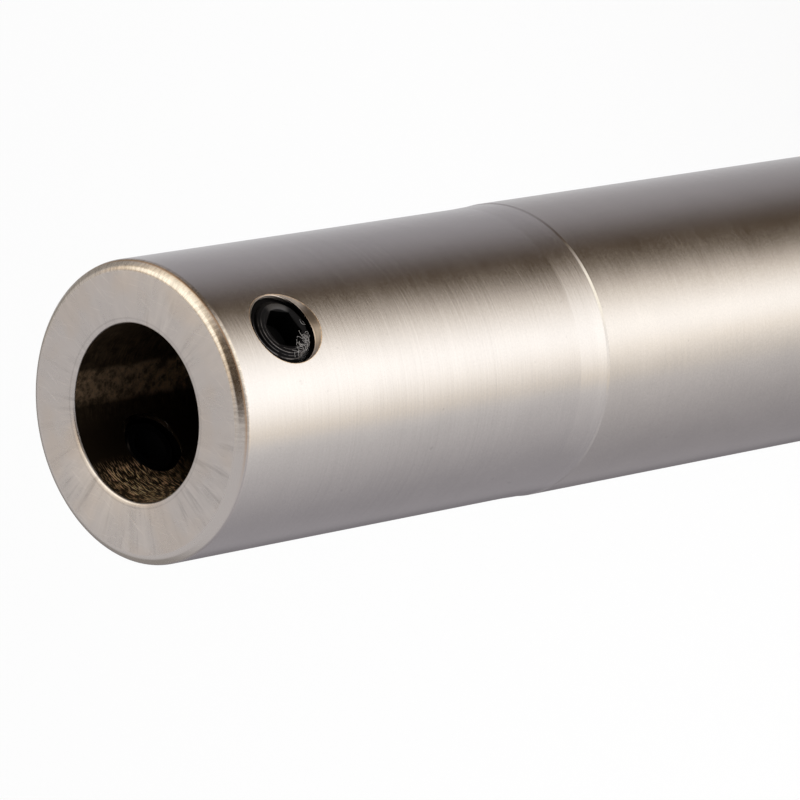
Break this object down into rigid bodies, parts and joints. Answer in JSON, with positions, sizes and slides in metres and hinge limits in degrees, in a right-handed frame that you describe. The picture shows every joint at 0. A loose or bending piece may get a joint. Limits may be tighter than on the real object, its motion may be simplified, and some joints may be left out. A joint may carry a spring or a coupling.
{
  "type": "boring bar",
  "caption": "Round ground steel boring bar with a cylindrical tool socket in its relieved head, clamped by opposed hexagon socket set screws near the mouth.",
  "frame": {"origin": "centre of the plain rear face, on which the bar stands", "axes": "+Z along the bar's axis, from the rear face towards the mouth of the tool socket; the front set screw faces -Y and the rear set screw +Y"},
  "size_m": [0.02, 0.02, 0.15],
  "materials": {
    "ground_steel": "cylindrically ground, bright",
    "black_oxide_steel": "black oxide, oiled"
  },
  "bodies": {
    "bar": {"bar_body": "ground_steel"},
    "front_screw": {"front_set_screw": "black_oxide_steel"},
    "rear_screw": {"rear_set_screw": "black_oxide_steel"}
  },
  "joints": [
    {"name": "front_screw_travel", "type": "slide", "parent": "bar", "child": "front_screw", "axis": [0, 1, 0], "range_m": [-0.0008, 0.0016]},
    {"name": "rear_screw_travel", "type": "slide", "parent": "bar", "child": "rear_screw", "axis": [0, -1, 0], "range_m": [-0.0008, 0.0016]}
  ]
}
